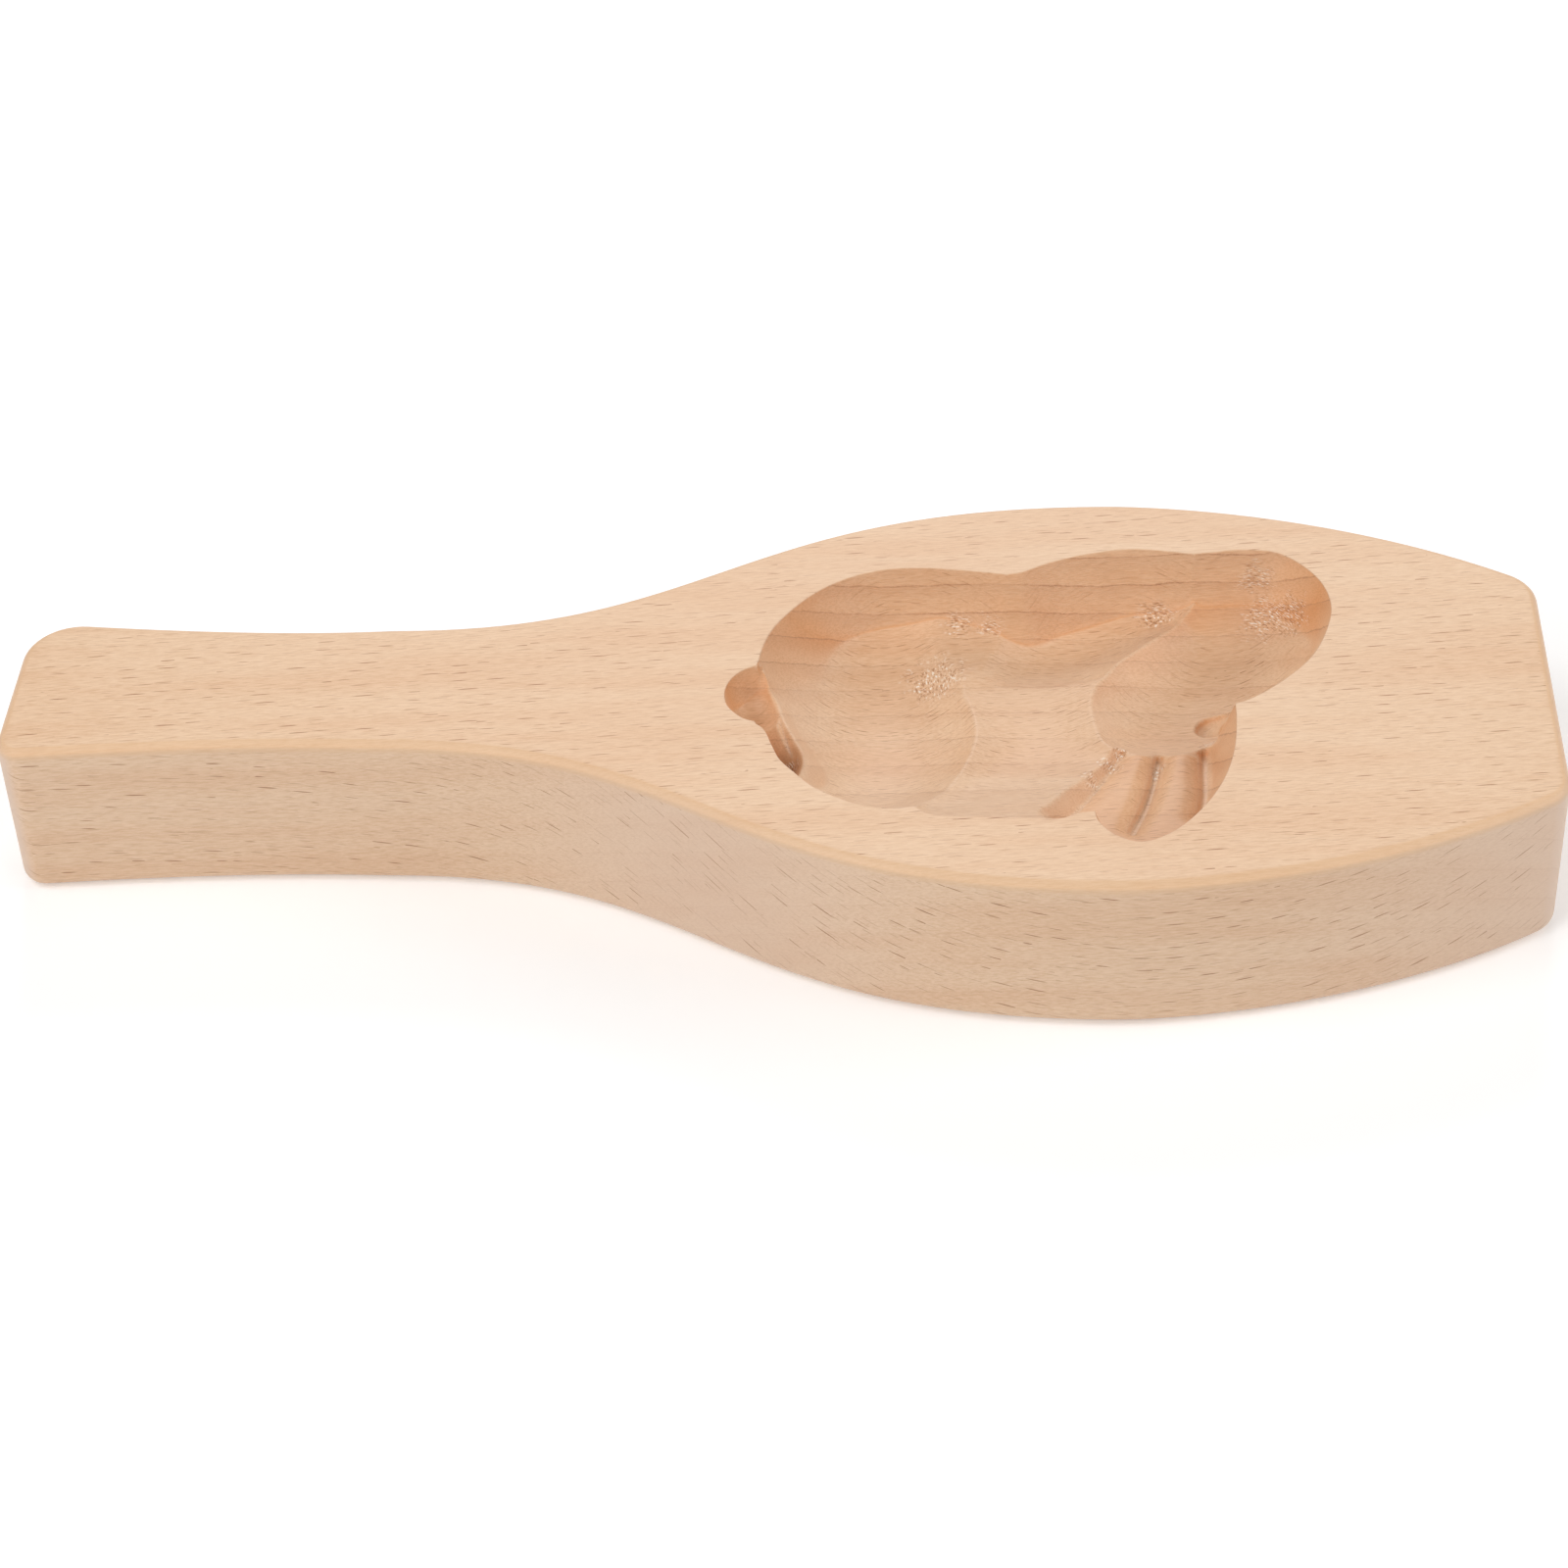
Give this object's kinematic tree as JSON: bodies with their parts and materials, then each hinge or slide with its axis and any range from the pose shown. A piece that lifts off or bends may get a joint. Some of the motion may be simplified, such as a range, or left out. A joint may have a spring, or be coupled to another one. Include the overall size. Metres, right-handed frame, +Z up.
{
  "type": "cookie mould",
  "caption": "Solid beech hand mould with a paddle handle and a crouching rabbit carved into its face, for shaping dough.",
  "frame": {"origin": "middle of the underside, on the surface that the mould rests on", "axes": "+X from the handle to the head, +Y across the board towards the rabbit's back-of-neck side, +Z up out of the carved face"},
  "size_m": [0.255, 0.1, 0.03],
  "materials": {
    "beech": "fine sanded, dry oiled, satin"
  },
  "bodies": {
    "root": {"mould_body": "beech"}
  },
  "joints": []
}
